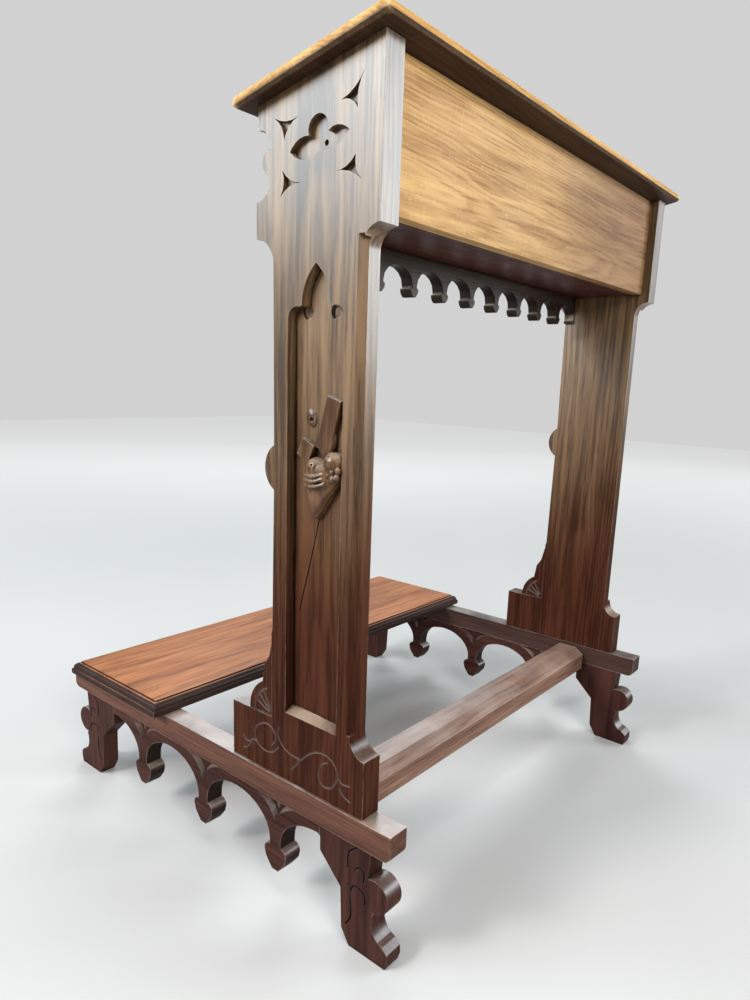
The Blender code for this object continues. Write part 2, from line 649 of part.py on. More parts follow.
def valance():
    """The fringe of small arches under the shelf."""
    end = PANEL_INNER_X - GAP
    top = SHELF_BOTTOM_Z - GAP
    neck, lobe, tip = 0.0048, 0.0080, 0.0030
    end_z = VALANCE_SPRING_Z - VALANCE_DROP * 0.6
    outline = [(-end, top), (-end, end_z)]
    for i in range(-5, 6):
        middle = i * VALANCE_PITCH
        pendant = pendant_outline(middle, VALANCE_SPRING_Z, neck, lobe, tip, VALANCE_DROP)
        outline += [point for point in pendant if abs(point[0]) < end - 0.001]
        if i < 5:
            outline += arch(
                middle + neck, middle + VALANCE_PITCH - neck, VALANCE_SPRING_Z, VALANCE_RISE, 8
            )
    outline += [(end, end_z), (end, top)]
    fringe = prism(outline, VALANCE_REAR_Y - VALANCE_THICKNESS, VALANCE_REAR_Y, across="Y")
    return add_object("valance", fringe, material("oak_shelf", OAK_RED, 0.45))


def desk_cleat(name, side):
    """A batten glued inside the head of a side panel, that the desk is screwed to from below."""
    face = PANEL_INNER_X - GAP
    front, rear = CLEAT_FRONT_Y, BACK_REAR_Y - BACK_THICKNESS - 0.002
    front_z, rear_z = desk_underside_z(front) - GAP, desk_underside_z(rear) - GAP
    outline = [(front, front_z - CLEAT_SIZE), (rear, rear_z - CLEAT_SIZE), (rear, rear_z), (front, front_z)]
    solid = prism(outline, side * (face - CLEAT_SIZE), side * face)
    batten = add_object(name, solid, material("oak_shelf", OAK_RED))
    holes = [desk_screw(side, y, GAP) for y in DESK_SCREW_Y]
    cut(batten, helper(name + "_screw_holes", merged(holes)))
    return batten


def desk_screw(side, y, clearance=0.0):
    """A screw square to the desk top, up through the cleat, or with a clearance the hole that takes it."""
    screw = rod((0, 0, 0), 0.002 + clearance, 0.024 + 2 * clearance)
    middle = (side * (PANEL_INNER_X - 0.0095), y, desk_underside_z(y) - 0.005)
    turn = Matrix.Translation(middle) @ Matrix.Rotation(DESK_SLOPE, 4, "X")
    bmesh.ops.transform(screw, matrix=turn, verts=screw.verts)
    return screw


def glue_block(name, middle_x):
    """A corner block that stiffens the joint of the back panel and the shelf, inside the desk."""
    face = BACK_REAR_Y - BACK_THICKNESS - GAP
    floor = SHELF_BOTTOM_Z + SHELF_THICKNESS + GAP
    corner = [(face, floor), (face, floor + 0.022), (face - 0.022, floor)]
    solid = prism(corner, middle_x - 0.020, middle_x + 0.020)
    return add_object(name, solid, material("oak_shelf", OAK_RED, 0.45))


def block_at(x, y, joint_z, size, clearance=0.0):
    """A tenon at a joint's height: size is its thickness, its length, its depth below and its root above."""
    thick, length, depth, root = size
    low = (x - thick / 2 - clearance, y - length / 2 - clearance, joint_z - depth - clearance)
    return block(low, (x + thick / 2 + clearance, y + length / 2 + clearance, joint_z + root))


clear_scene()
for SIDE, LABEL in ((1, "right"), (-1, "left")):
    side_panel(LABEL + "_side_panel", SIDE)
    heart_carving(LABEL + "_heart_carving", SIDE)
    rail(LABEL + "_rail", SIDE)
    arcade(LABEL + "_arcade", SIDE)
    foot("rear_" + LABEL + "_foot", SIDE, 1)
    foot("front_" + LABEL + "_foot", SIDE, -1)
    desk_cleat(LABEL + "_desk_cleat", SIDE)
    for NUMBER, PLACE_Y in enumerate(FOOT_DOWEL_Y, 1):
        dowel(f"foot_dowel_{LABEL}_{NUMBER}", SIDE, PLACE_Y)
    for NUMBER, PLACE_Y in enumerate(ARCADE_DOWEL_Y, 1):
        dowel(f"arcade_dowel_{LABEL}_{NUMBER}", SIDE, PLACE_Y)
    for NUMBER, PLACE_Y in enumerate(DESK_SCREW_Y, 1):
        STEEL = material("dark_steel", DARK_STEEL, 0.4, 1.0)
        add_object(f"desk_screw_{LABEL}_{NUMBER}", desk_screw(SIDE, PLACE_Y), STEEL)
stretcher()
kneeling_board()
board_fasteners()
desk_top()
back_panel()
shelf_board()
valance()
for NUMBER, MIDDLE_X in enumerate((-0.200, 0.0, 0.200), 1):
    glue_block(f"glue_block_{NUMBER}", MIDDLE_X)
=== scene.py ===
"""The finished look of an oak kneeling desk: worn and rounded boards, carving, waxed oak, studio light.

The joiner's solids give every place and size. Front is -Y, where a person kneels; the closed back is +Y.
"""

import math

import bmesh
import bpy
from mathutils import Matrix, Vector


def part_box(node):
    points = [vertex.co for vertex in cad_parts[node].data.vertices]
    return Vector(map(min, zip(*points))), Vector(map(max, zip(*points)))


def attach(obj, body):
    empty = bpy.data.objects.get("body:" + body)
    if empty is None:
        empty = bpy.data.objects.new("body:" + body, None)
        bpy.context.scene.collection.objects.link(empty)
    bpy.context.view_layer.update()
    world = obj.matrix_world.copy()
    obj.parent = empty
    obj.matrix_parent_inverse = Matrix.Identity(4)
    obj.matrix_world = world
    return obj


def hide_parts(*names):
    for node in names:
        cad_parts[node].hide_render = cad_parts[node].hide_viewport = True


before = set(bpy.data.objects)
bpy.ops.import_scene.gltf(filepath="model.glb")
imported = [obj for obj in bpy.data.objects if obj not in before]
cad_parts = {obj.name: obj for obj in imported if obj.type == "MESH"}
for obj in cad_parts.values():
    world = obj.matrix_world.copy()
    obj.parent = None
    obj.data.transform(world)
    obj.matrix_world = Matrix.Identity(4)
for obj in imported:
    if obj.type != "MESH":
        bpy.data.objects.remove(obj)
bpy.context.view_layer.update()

SHARP = math.radians(24)             # an edge that turns more than this is rounded
MERGE = 0.00001
OUTER_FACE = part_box("right_side_panel")[1][0]
PANEL_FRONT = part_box("right_side_panel")[0][1]
PANEL_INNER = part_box("right_side_panel")[0][0]
RAIL_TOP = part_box("right_rail")[1][2]
SLED_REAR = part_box("right_rail")[1][1]
SHAFT_MIDDLE = PANEL_FRONT + 0.134   # the middle of the recess
PLINTH_TOP = RAIL_TOP + 0.071
BRACKET_CORNER = (PANEL_FRONT + 0.070, PLINTH_TOP)
BRACKET_SETBACK = 0.004
RECESS_DEPTH = 0.011
HEART_MIDDLE = (SHAFT_MIDDLE + 0.0135, 0.517)
BLADE_LINE = [(PANEL_FRONT + 0.136, 0.492), (PANEL_FRONT + 0.120, 0.430), (PANEL_FRONT + 0.104, 0.373)]


# ---------------------------------------------------------------- shader groups

class Tree:
    """Adds nodes to a node tree, and gives back their output sockets."""

    def __init__(self, tree):
        self.tree = tree

    def node(self, kind, **settings):
        made = self.tree.nodes.new(kind)
        for name, value in settings.items():
            setattr(made, name, value)
        return made

    def put(self, value, socket):
        """Links a socket, or sets a plain value."""
        if isinstance(value, bpy.types.NodeSocket):
            self.tree.links.new(value, socket)
        elif value is not None:
            socket.default_value = value

    def math(self, operation, a, b=None, clamp=False):
        made = self.node("ShaderNodeMath", operation=operation, use_clamp=clamp)
        self.put(a, made.inputs[0])
        self.put(b, made.inputs[1])
        return made.outputs[0]

    def vector(self, operation, a, b=None):
        made = self.node("ShaderNodeVectorMath", operation=operation)
        self.put(a, made.inputs[0])
        self.put(b, made.inputs[1])
        return made.outputs["Value" if operation == "LENGTH" else "Vector"]

    def split(self, vector):
        """The X, Y and Z of a vector, by name."""
        made = self.node("ShaderNodeSeparateXYZ")
        self.put(vector, made.inputs[0])
        return made.outputs

    def noise(self, vector, stretch=None, detail=2.0, roughness=0.5, scale=1.0):
        """Noise from 0 to 1, whose grains are 1 / (stretch x scale) metres along each axis."""
        made = self.node("ShaderNodeTexNoise")
        stretched = self.vector("MULTIPLY", vector, stretch) if stretch else vector
        self.put(stretched, made.inputs["Vector"])
        self.put(scale, made.inputs["Scale"])
        made.inputs["Detail"].default_value = detail
        made.inputs["Roughness"].default_value = roughness
        return made.outputs["Fac"]

    def spread(self, value, low, high, to_low=0.0, to_high=1.0):
        """Maps low..high to to_low..to_high, with soft ends."""
        made = self.node("ShaderNodeMapRange", interpolation_type="SMOOTHSTEP")
        self.put(value, made.inputs["Value"])
        self.put(low, made.inputs["From Min"])
        self.put(high, made.inputs["From Max"])
        self.put(to_low, made.inputs["To Min"])
        self.put(to_high, made.inputs["To Max"])
        return made.outputs["Result"]

    def mix(self, factor, a, b):
        made = self.node("ShaderNodeMix", data_type="RGBA")
        self.put(factor, made.inputs["Factor"])
        self.put(a, made.inputs["A"])
        self.put(b, made.inputs["B"])
        return made.outputs["Result"]

    def effect(self, group, values):
        """Places a shader group, with a value or a socket for each named input."""
        made = self.node("ShaderNodeGroup", node_tree=group)
        for label, value in values.items():
            self.put(value, made.inputs[label])
        return made.outputs


def new_group(name, inputs, outputs):
    """An empty shader group; inputs and outputs are (name, kind, default) and (name, kind)."""
    group = bpy.data.node_groups.new(name, "ShaderNodeTree")
    for label, kind, default in inputs:
        socket = group.interface.new_socket(label, in_out="INPUT", socket_type="NodeSocket" + kind)
        if default is not None:
            socket.default_value = default
    for label, kind in outputs:
        group.interface.new_socket(label, in_out="OUTPUT", socket_type="NodeSocket" + kind)
    tree = Tree(group)
    return group, tree, tree.node("NodeGroupInput").outputs, tree.node("NodeGroupOutput").inputs


def oak_grain_group():
    """Sawn oak with its fibres along Z: growth rings round the Z axis, streaks, pores and ray flecks."""
    group, t, given, result = new_group(
        "oak grain",
        [
            ("Vector", "Vector", None),
            ("Light", "Color", (0.4, 0.3, 0.2, 1.0)),
            ("Dark", "Color", (0.1, 0.06, 0.04, 1.0)),
            ("Ring Width", "Float", 0.004),
            ("Rings", "Float", 0.5),
            ("Streaks", "Float", 0.4),
            ("Flecks", "Float", 0.0),
        ],
        [("Color", "Color"), ("Dark Grain", "Float"), ("Height", "Float")],
    )
    place = given["Vector"]
    radius = t.vector("LENGTH", t.vector("MULTIPLY", place, (1.0, 1.0, 0.0)))
    wander = t.noise(place, (9.0, 9.0, 1.5), 3.0, 0.55)
    radius = t.math("ADD", radius, t.math("MULTIPLY", wander, 0.040))
    phase = t.math("FRACT", t.math("DIVIDE", radius, given["Ring Width"]))
    early = t.math("MULTIPLY", t.spread(phase, 0.0, 0.25), t.spread(phase, 0.95, 0.30))
    broad = t.noise(place, (24.0, 24.0, 3.0), 3.0, 0.6)
    band = t.noise(place, (120.0, 120.0, 6.0), 3.0, 0.6)
    streak = t.noise(place, (420.0, 420.0, 15.0), 2.0, 0.6)
    fibre = t.noise(place, (1300.0, 1300.0, 45.0), 2.0, 0.6)
    fine, coarse = t.spread(fibre, 0.53, 0.68, 0.0, 0.6), t.spread(streak, 0.54, 0.66, 0.0, 0.6)
    pores = t.math("ADD", fine, coarse, clamp=True)
    pores = t.math("MULTIPLY", pores, t.spread(early, 0.0, 1.0, 0.55, 1.0))
    flecks = t.spread(t.noise(place, (150.0, 150.0, 420.0), 2.0, 0.55), 0.60, 0.74)
    dark = t.math("MULTIPLY", early, given["Rings"])
    dark = t.math("ADD", dark, t.math("MULTIPLY", t.spread(band, 0.36, 0.64), given["Streaks"]))
    dark = t.math("ADD", dark, t.spread(broad, 0.36, 0.64, -0.12, 0.28))
    dark = t.math("ADD", dark, t.math("MULTIPLY", pores, 0.62))
    dark = t.math("SUBTRACT", dark, t.math("MULTIPLY", flecks, given["Flecks"]), clamp=True)
    hollows = t.math("ADD", t.math("MULTIPLY", pores, 0.7), t.math("MULTIPLY", early, 0.3))
    t.put(t.mix(dark, given["Light"], given["Dark"]), result["Color"])
    t.put(dark, result["Dark Grain"])
    t.put(t.math("SUBTRACT", 1.0, hollows), result["Height"])
    return group


def fading_group():
    """Light and dark wood that change to a second pair of colours where Position goes from Begin to End."""
    group, t, given, result = new_group(
        "fading",
        [
            ("Vector", "Vector", None),
            ("Position", "Float", 0.0),
            ("Begin", "Float", 0.8),
            ("End", "Float", 0.4),
            ("Light", "Color", (0.4, 0.3, 0.2, 1.0)),
            ("Dark", "Color", (0.1, 0.06, 0.04, 1.0)),
            ("Second Light", "Color", (0.2, 0.1, 0.05, 1.0)),
            ("Second Dark", "Color", (0.05, 0.02, 0.01, 1.0)),
        ],
        [("Light", "Color"), ("Dark", "Color"), ("Faded", "Float")],
    )
    uneven = t.math("MULTIPLY", t.noise(given["Vector"], (9.0, 9.0, 2.0)), 0.3)
    faded = t.spread(t.math("ADD", given["Position"], uneven), given["Begin"], given["End"])
    t.put(t.mix(faded, given["Light"], given["Second Light"]), result["Light"])
    t.put(t.mix(faded, given["Dark"], given["Second Dark"]), result["Dark"])
    t.put(faded, result["Faded"])
    return group


def shaded_sides_group():
    """Painted shade: a second colour on every face that doesn't look up; the change is where Up goes from
    Begin to End.
    """
    group, t, given, result = new_group(
        "shaded sides",
        [
            ("Color", "Color", (0.4, 0.3, 0.2, 1.0)),
            ("Dark Grain", "Float", 0.0),
            ("Up", "Float", 0.0),
            ("Begin", "Float", 0.9),
            ("End", "Float", 0.98),
            ("Side", "Color", (0.06, 0.03, 0.02, 1.0)),
            ("Side Grain", "Color", (0.03, 0.015, 0.01, 1.0)),
        ],
        [("Color", "Color")],
    )
    shaded = t.mix(given["Dark Grain"], given["Side"], given["Side Grain"])
    looks_up = t.spread(given["Up"], given["Begin"], given["End"])
    t.put(t.mix(looks_up, shaded, given["Color"]), result["Color"])
    return group


def painted_arch_shade_group():
    """Painted shade on the walls inside sawn arches: the faces that look neither up nor along Through are
    darkened near black.
    """
    group, t, given, result = new_group(
        "black walls",
        [("Color", "Color", (0.4, 0.3, 0.2, 1.0)), ("Through", "Float", 0.0), ("Up", "Float", 0.0)],
        [("Color", "Color")],
    )
    narrow = t.spread(t.math("ABSOLUTE", given["Through"]), 0.75, 0.35)
    walls = t.math("MULTIPLY", narrow, t.spread(given["Up"], 0.35, -0.05))
    t.put(t.mix(t.math("MULTIPLY", walls, 0.92), given["Color"], ARCH_SHADE_BLACK), result["Color"])
    return group


def blots_group():
    """Dark stains drawn out along the fibres."""
    group, t, given, result = new_group(
        "blots",
        [("Vector", "Vector", None), ("Color", "Color", (0.4, 0.3, 0.2, 1.0)), ("Amount", "Float", 0.5)],
        [("Color", "Color")],
    )
    blots = t.noise(given["Vector"], (22.0, 22.0, 5.0), 4.0, 0.6)
    stained = t.spread(blots, 0.54, 0.70, 0.0, given["Amount"])
    t.put(t.mix(stained, given["Color"], BLOT), result["Color"])
    return group


def handling_and_shade_group():
    """Where hands, feet and dust go, and where shade falls: rubbed edges, dark corners that are partly dust
    and partly painted shade, smears on the flats.
    """
    group, t, given, result = new_group(
        "handling",
        [("Vector", "Vector", None), ("Edge Width", "Float", 0.003), ("Corner Width", "Float", 0.012)],
        [("Rubbed", "Float"), ("Grime And Shade", "Float"), ("Smears", "Float")],
    )
    inside = t.node("ShaderNodeAmbientOcclusion", samples=4, inside=True, only_local=True)
    t.put(given["Edge Width"], inside.inputs["Distance"])
    outside = t.node("ShaderNodeAmbientOcclusion", samples=4)
    t.put(given["Corner Width"], outside.inputs["Distance"])
    patchy = t.noise(given["Vector"], (55.0, 55.0, 40.0), 4.0, 0.65)
    edge = t.math("SUBTRACT", 1.0, inside.outputs["AO"])
    rubbed = t.math("MULTIPLY", t.spread(edge, 0.25, 0.75), t.spread(patchy, 0.36, 0.60, 0.25, 1.0))
    t.put(rubbed, result["Rubbed"])
    # Painted shade, partly dust: corners and recesses darken where the ambient occlusion is low.
    corner = t.spread(outside.outputs["AO"], 0.80, 0.35)
    t.put(t.math("MULTIPLY", corner, t.spread(patchy, 0.30, 0.60, 0.65, 1.0)), result["Grime And Shade"])
    t.put(t.noise(given["Vector"], (14.0, 14.0, 10.0), 4.0, 0.6), result["Smears"])
    return group


def wear_shade_and_wax_group():
    """Rubs, darkens and waxes a board; the darkening in its corners is partly dust and partly painted shade.
    Wax is the sheen of upright faces, and Top Wax what tops have more.
    """
    group, t, given, result = new_group(
        "wear and wax",
        [
            ("Vector", "Vector", None),
            ("Color", "Color", (0.4, 0.3, 0.2, 1.0)),
            ("Dark Grain", "Float", 0.0),
            ("Grain Height", "Float", 1.0),
            ("Rubbed", "Float", 0.0),
            ("Grime And Shade", "Float", 0.0),
            ("Smears", "Float", 0.5),
            ("Up", "Float", 0.0),
            ("Rubbed Color", "Color", (0.5, 0.38, 0.26, 1.0)),
            ("Rub", "Float", 0.5),
            ("Corner Darkening", "Float", 0.8),
            ("Roughness", "Float", 0.36),
            ("Wax", "Float", 0.2),
            ("Top Wax", "Float", 0.5),
        ],
        [("Color", "Color"), ("Roughness", "Float"), ("Wax", "Float"), ("Height", "Float")],
    )
    up = t.spread(given["Up"], 0.20, 0.85)
    # The corner darkening, dust and painted shade together, is weaker on faces that look up.
    on_top = t.math("MULTIPLY", given["Corner Darkening"], 0.2)
    dirt_and_shade = t.math("MULTIPLY", given["Grime And Shade"], t.spread(up, 0.0, 1.0, given["Corner Darkening"], on_top))
    smeared = t.spread(given["Smears"], 0.3, 0.7, 0.0, t.math("MULTIPLY", given["Top Wax"], 0.9))
    edges = t.math("MULTIPLY", given["Rubbed"], given["Rub"])
    worn = t.math("ADD", edges, t.math("MULTIPLY", up, smeared), clamp=True)
    t.put(t.mix(dirt_and_shade, t.mix(worn, given["Color"], given["Rubbed Color"]), GRIME_AND_SHADE), result["Color"])

    smooth, dull = t.math("ADD", given["Roughness"], -0.07), t.math("ADD", given["Roughness"], 0.10)
    rough = t.spread(given["Smears"], 0.3, 0.7, smooth, dull)
    rough = t.math("ADD", rough, t.math("MULTIPLY", given["Dark Grain"], 0.08))
    rough = t.math("ADD", rough, t.math("MULTIPLY", dirt_and_shade, 0.25), clamp=True)
    t.put(rough, result["Roughness"])

    clean = t.math("SUBTRACT", 1.0, dirt_and_shade, clamp=True)
    shine = t.math("ADD", given["Wax"], t.math("MULTIPLY", up, given["Top Wax"]))
    shine = t.math("MULTIPLY", shine, 2.0)
    t.put(t.math("MULTIPLY", clean, shine, clamp=True), result["Wax"])

    dents = t.noise(given["Vector"], (60.0, 60.0, 60.0), 3.0, 0.55)
    t.put(t.math("ADD", given["Grain Height"], t.math("MULTIPLY", dents, 1.2)), result["Height"])
    return group


def mottle_group():
    """Two tones in small patches."""
    group, t, given, result = new_group(
        "mottle",
        [
            ("Vector", "Vector", None),
            ("Fineness", "Float", 300.0),
            ("Dark", "Color", (0.05, 0.05, 0.05, 1.0)),
            ("Light", "Color", (0.15, 0.15, 0.15, 1.0)),
        ],
        [("Color", "Color"), ("Patches", "Float")],
    )
    patches = t.noise(given["Vector"], None, 3.0, scale=given["Fineness"])
    t.put(t.mix(patches, given["Dark"], given["Light"]), result["Color"])
    t.put(patches, result["Patches"])
    return group


# Near black painted on the walls of sawn arches as their shade.
ARCH_SHADE_BLACK = (0.012, 0.008, 0.006, 1.0)
BLOT = (0.05, 0.022, 0.014, 1.0)
# Near black for corners: partly dust, partly painted shade.
GRIME_AND_SHADE = (0.008, 0.005, 0.004, 1.0)
OAK_GRAIN = oak_grain_group()
FADING = fading_group()
SHADED_SIDES = shaded_sides_group()
PAINTED_ARCH_SHADE = painted_arch_shade_group()
BLOTS = blots_group()
HANDLING_AND_SHADE = handling_and_shade_group()
WEAR_SHADE_AND_WAX = wear_shade_and_wax_group()
MOTTLE = mottle_group()


# ---------------------------------------------------------------- finishes

TURN_FOR = {"X": (0, math.pi / 2, 0), "Y": (math.pi / 2, 0, 0), "Z": (0, 0, 0)}
COAT_ROUGHNESS = 0.32
BARE_WOOD_SHEEN = 0.02
GRAIN_DEPTH = 0.0004


def rgba(colour):
    return (*colour, 1.0)


def oak(
    name, light, dark, along="Z", heart=(0, 0, 0), second=None, over=("Z", 0.80, 0.40),
    ring=0.004, rings=0.5, streaks=0.4, flecks=0.0, rubbed=(0.5, 0.38, 0.26), rub=0.5, edge=0.003,
    corner=0.012, grime_and_shade=0.8, roughness=0.36, wax=0.2, top=0.5, sides=None, turn=(0.90, 0.98), walls=None,
    stain=0.0,
):
    """Waxed oak. along is the way of its fibres, and heart a point in the middle of the tree, in the world.
    second is the light and dark colour that the board changes to along an axis, as over tells: axis, begin
    and end. Down an upright board the wax has worn off as well.
    wax is the sheen of the upright faces, and top what is added on faces that look up.
    sides is the painted shade on every face that doesn't look up, where that differs, and turn where it
    changes.
    stain is how dark its blots are. walls is the axis through a board with arches, whose walls are black."""
    made = bpy.data.materials.new(name)
    made.use_nodes = True
    made.node_tree.nodes.clear()
    t = Tree(made.node_tree)
    coordinates = t.node("ShaderNodeTexCoord").outputs
    place = coordinates["Object"]
    facing = t.split(coordinates["Normal"])
    turned = t.node("ShaderNodeMapping", vector_type="POINT")
    t.put(t.vector("SUBTRACT", place, heart), turned.inputs["Vector"])
    turned.inputs["Rotation"].default_value = TURN_FOR[along]
    fibres = turned.outputs["Vector"]

    light, dark = rgba(light), rgba(dark)
    if second:
        axis, begin, end = over
        faded = t.effect(FADING, {
            "Vector": place, "Position": t.split(place)[axis], "Begin": begin, "End": end,
            "Light": light, "Dark": dark, "Second Light": rgba(second[0]), "Second Dark": rgba(second[1]),
        })
        light, dark = faded["Light"], faded["Dark"]
        if axis == "Z":
            wax = t.spread(faded["Faded"], 0.0, 0.85, wax, 0.0)

    grain = t.effect(OAK_GRAIN, {
        "Vector": fibres, "Light": light, "Dark": dark, "Ring Width": ring, "Rings": rings,
        "Streaks": streaks, "Flecks": flecks,
    })
    colour = grain["Color"]
    if sides:
        # Painted shade on the faces that don't look up.
        colour = t.effect(SHADED_SIDES, {
            "Color": colour, "Dark Grain": grain["Dark Grain"], "Up": facing["Z"], "Begin": turn[0],
            "End": turn[1], "Side": rgba(sides), "Side Grain": rgba(0.5 * c for c in sides),
        })["Color"]
    # Painted shade: on boards with arches, the walls inside them are darkened near black.
    if walls:
        colour = t.effect(PAINTED_ARCH_SHADE, {
            "Color": colour, "Through": facing[walls], "Up": facing["Z"],
        })["Color"]
    if stain:
        colour = t.effect(BLOTS, {"Vector": fibres, "Color": colour, "Amount": stain})["Color"]

    handled_and_shaded = t.effect(HANDLING_AND_SHADE, {"Vector": place, "Edge Width": edge, "Corner Width": corner})
    surface = t.effect(WEAR_SHADE_AND_WAX, {
        "Vector": place, "Color": colour, "Dark Grain": grain["Dark Grain"], "Grain Height": grain["Height"],
        "Rubbed": handled_and_shaded["Rubbed"], "Grime And Shade": handled_and_shaded["Grime And Shade"], "Smears": handled_and_shaded["Smears"],
        "Up": facing["Z"], "Rubbed Color": rgba(rubbed), "Rub": rub, "Corner Darkening": grime_and_shade,
        "Roughness": roughness, "Wax": wax, "Top Wax": top,
    })
    bump = t.node("ShaderNodeBump")
    bump.inputs["Strength"].default_value = 0.55
    bump.inputs["Distance"].default_value = GRAIN_DEPTH
    t.put(surface["Height"], bump.inputs["Height"])

    shader = t.node("ShaderNodeBsdfPrincipled")
    t.put(surface["Color"], shader.inputs["Base Color"])
    t.put(surface["Roughness"], shader.inputs["Roughness"])
    t.put(surface["Wax"], shader.inputs["Coat Weight"])
    t.put(bump.outputs["Normal"], shader.inputs["Normal"])
    shader.inputs["Coat Roughness"].default_value = COAT_ROUGHNESS
    shader.inputs["Specular IOR Level"].default_value = BARE_WOOD_SHEEN
    t.put(shader.outputs["BSDF"], t.node("ShaderNodeOutputMaterial").inputs["Surface"])
    return made


def in_the_cuts(name, colour, roughness):
    """A mottled dull finish for narrow cuts."""
    made = bpy.data.materials.new(name)
    made.use_nodes = True
    t = Tree(made.node_tree)
    shader = made.node_tree.nodes["Principled BSDF"]
    mottled = t.effect(MOTTLE, {
        "Vector": t.node("ShaderNodeTexCoord").outputs["Object"], "Fineness": 300.0,
        "Dark": rgba(0.6 * c for c in colour), "Light": rgba(1.4 * c for c in colour),
    })
    t.put(mottled["Color"], shader.inputs["Base Color"])
    shader.inputs["Roughness"].default_value = roughness
    shader.inputs["Specular IOR Level"].default_value = 0.1
    return made


def dark_steel():
    made = bpy.data.materials.new("dark steel")
    made.use_nodes = True
    t = Tree(made.node_tree)
    shader = made.node_tree.nodes["Principled BSDF"]
    mottled = t.effect(MOTTLE, {
        "Vector": t.node("ShaderNodeTexCoord").outputs["Object"], "Fineness": 900.0,
        "Dark": (0.05, 0.05, 0.05, 1.0), "Light": (0.16, 0.14, 0.12, 1.0),
    })
    t.put(mottled["Color"], shader.inputs["Base Color"])
    t.put(t.spread(mottled["Patches"], 0.3, 0.7, 0.3, 0.6), shader.inputs["Roughness"])
    shader.inputs["Metallic"].default_value = 1.0
    return made


# each oak as its light and its dark wood
GREY_OAK = ((0.190, 0.112, 0.052), (0.050, 0.028, 0.013))
# Near the floor the side panels are darker and redder: partly real darkening, partly painted red bounce
# light.
LOW_OAK_AND_RED_BOUNCE = ((0.060, 0.019, 0.010), (0.022, 0.007, 0.004))
BROWN_OAK = ((0.058, 0.022, 0.016), (0.020, 0.008, 0.006))
CARVING_OAK = ((0.150, 0.074, 0.030), (0.046, 0.020, 0.009))
RIGHT_RAIL_OAK = ((0.118, 0.050, 0.032), (0.044, 0.019, 0.014))
SHADED_LEFT_RAIL_OAK = ((0.050, 0.026, 0.020), (0.020, 0.010, 0.008))
TAN_OAK = ((0.335, 0.130, 0.052), (0.120, 0.042, 0.018))
PINK_OAK = ((0.230, 0.128, 0.088), (0.085, 0.042, 0.030))
YELLOW_OAK = ((0.600, 0.350, 0.120), (0.300, 0.150, 0.048))
GOLD_OAK = ((0.530, 0.320, 0.118), (0.260, 0.125, 0.038))
# Painted shade: the duller gold that the back panel fades to at its left end.
GOLD_OAK_IN_PAINTED_SHADE = ((0.270, 0.150, 0.068), (0.130, 0.062, 0.026))
# Painted shade and painted red bounce light: wood seen in shadow under the desk.
SHADED_RED_BOUNCE_OAK = ((0.075, 0.026, 0.020), (0.034, 0.011, 0.009))
DUSTY_OAK = ((0.066, 0.046, 0.034), (0.028, 0.018, 0.014))
SILVER = (0.42, 0.36, 0.30)

# Down each side panel the oak fades to darker, redder colours: partly real darkening, partly painted red
# bounce light.
PANEL_OAK = {
    side: oak(
        f"panel oak {label}", *GREY_OAK, heart=(side * 0.275, 0.190, 0.0), second=LOW_OAK_AND_RED_BOUNCE,
        over=("Z", 0.92, 0.42), ring=0.0050, rings=0.30, streaks=0.55, rub=0.35, wax=0.50,
    )
    for side, label in ((1, "right"), (-1, "left"))
}
CARVED_OAK = oak(
    "carved oak", *CARVING_OAK, heart=(0.2, 0.2, 0.0), corner=0.008, grime_and_shade=1.0, roughness=0.26, wax=0.22,
)
# Painted shade: wide corner darkening and near-black arch walls under the arcades' arches and pendants.
SLED_OAK = oak(
    "sled oak", *BROWN_OAK, along="Y", heart=(0.30, 0.0, 0.08), ring=0.0045, rings=0.2, rub=0.7,
    rubbed=(0.30, 0.24, 0.20), corner=0.035, grime_and_shade=1.0, wax=0.02, top=0.6, walls="X",
)
# Painted shade: the left rail's oak is a darker copy of the right rail's.
RAIL_OAK = {
    label: oak(
        f"{label} rail oak", *wood, along="Y", heart=(0.30, 0.0, 0.08), ring=0.0045, rings=0.2, rub=0.8,
        rubbed=SILVER, wax=0.06, top=0.45,
    )
    for label, wood in (("right", RIGHT_RAIL_OAK), ("left", SHADED_LEFT_RAIL_OAK))
}
FOOT_OAK = oak(
    "foot oak", *BROWN_OAK, along="Z", heart=(0.27, 0.28, 0.0), ring=0.0045, rings=0.2,
    rubbed=(0.26, 0.21, 0.18), wax=0.02, top=0.6,
)
# Painted shade: the kneeling board is dark on every face but its top.
STEP_OAK = oak(
    "step oak", *TAN_OAK, along="X", heart=(0.0, -0.18, 0.06), ring=0.007, rings=0.25, streaks=0.3,
    rub=0.45, rubbed=(0.24, 0.22, 0.19), grime_and_shade=0.9, roughness=0.46, wax=0.06, top=0.03,
    sides=(0.030, 0.015, 0.012), turn=(0.97, 0.995), stain=0.45,
)
STRETCHER_OAK = oak(
    "stretcher oak", *PINK_OAK, along="X", heart=(0.0, 0.21, 0.10), ring=0.005, rings=0.2, rub=0.8,
    edge=0.005, rubbed=SILVER, roughness=0.5, wax=0.04, top=0.30, stain=0.5,
)
# Painted shade: the desk top is dark on its edges and its underside.
DESK_OAK = oak(
    "desk oak", *YELLOW_OAK, along="X", heart=(0.0, 0.2, 0.80), rings=0.3, rub=0.9, edge=0.007,
    rubbed=(0.70, 0.48, 0.22), wax=0.04, top=0.2, sides=(0.060, 0.032, 0.018), turn=(-0.10, 0.35),
)
# Painted shade: the back panel dulls from its right end to its left, as the light falls off away from the
# camera side.
BACK_OAK = oak(
    "back oak", *GOLD_OAK, along="X", heart=(0.0, 0.16, 0.80), second=GOLD_OAK_IN_PAINTED_SHADE,
    over=("X", 0.38, -0.10), ring=0.0026, rings=0.24, streaks=0.42, flecks=0.35, roughness=0.40, wax=0.04,
)
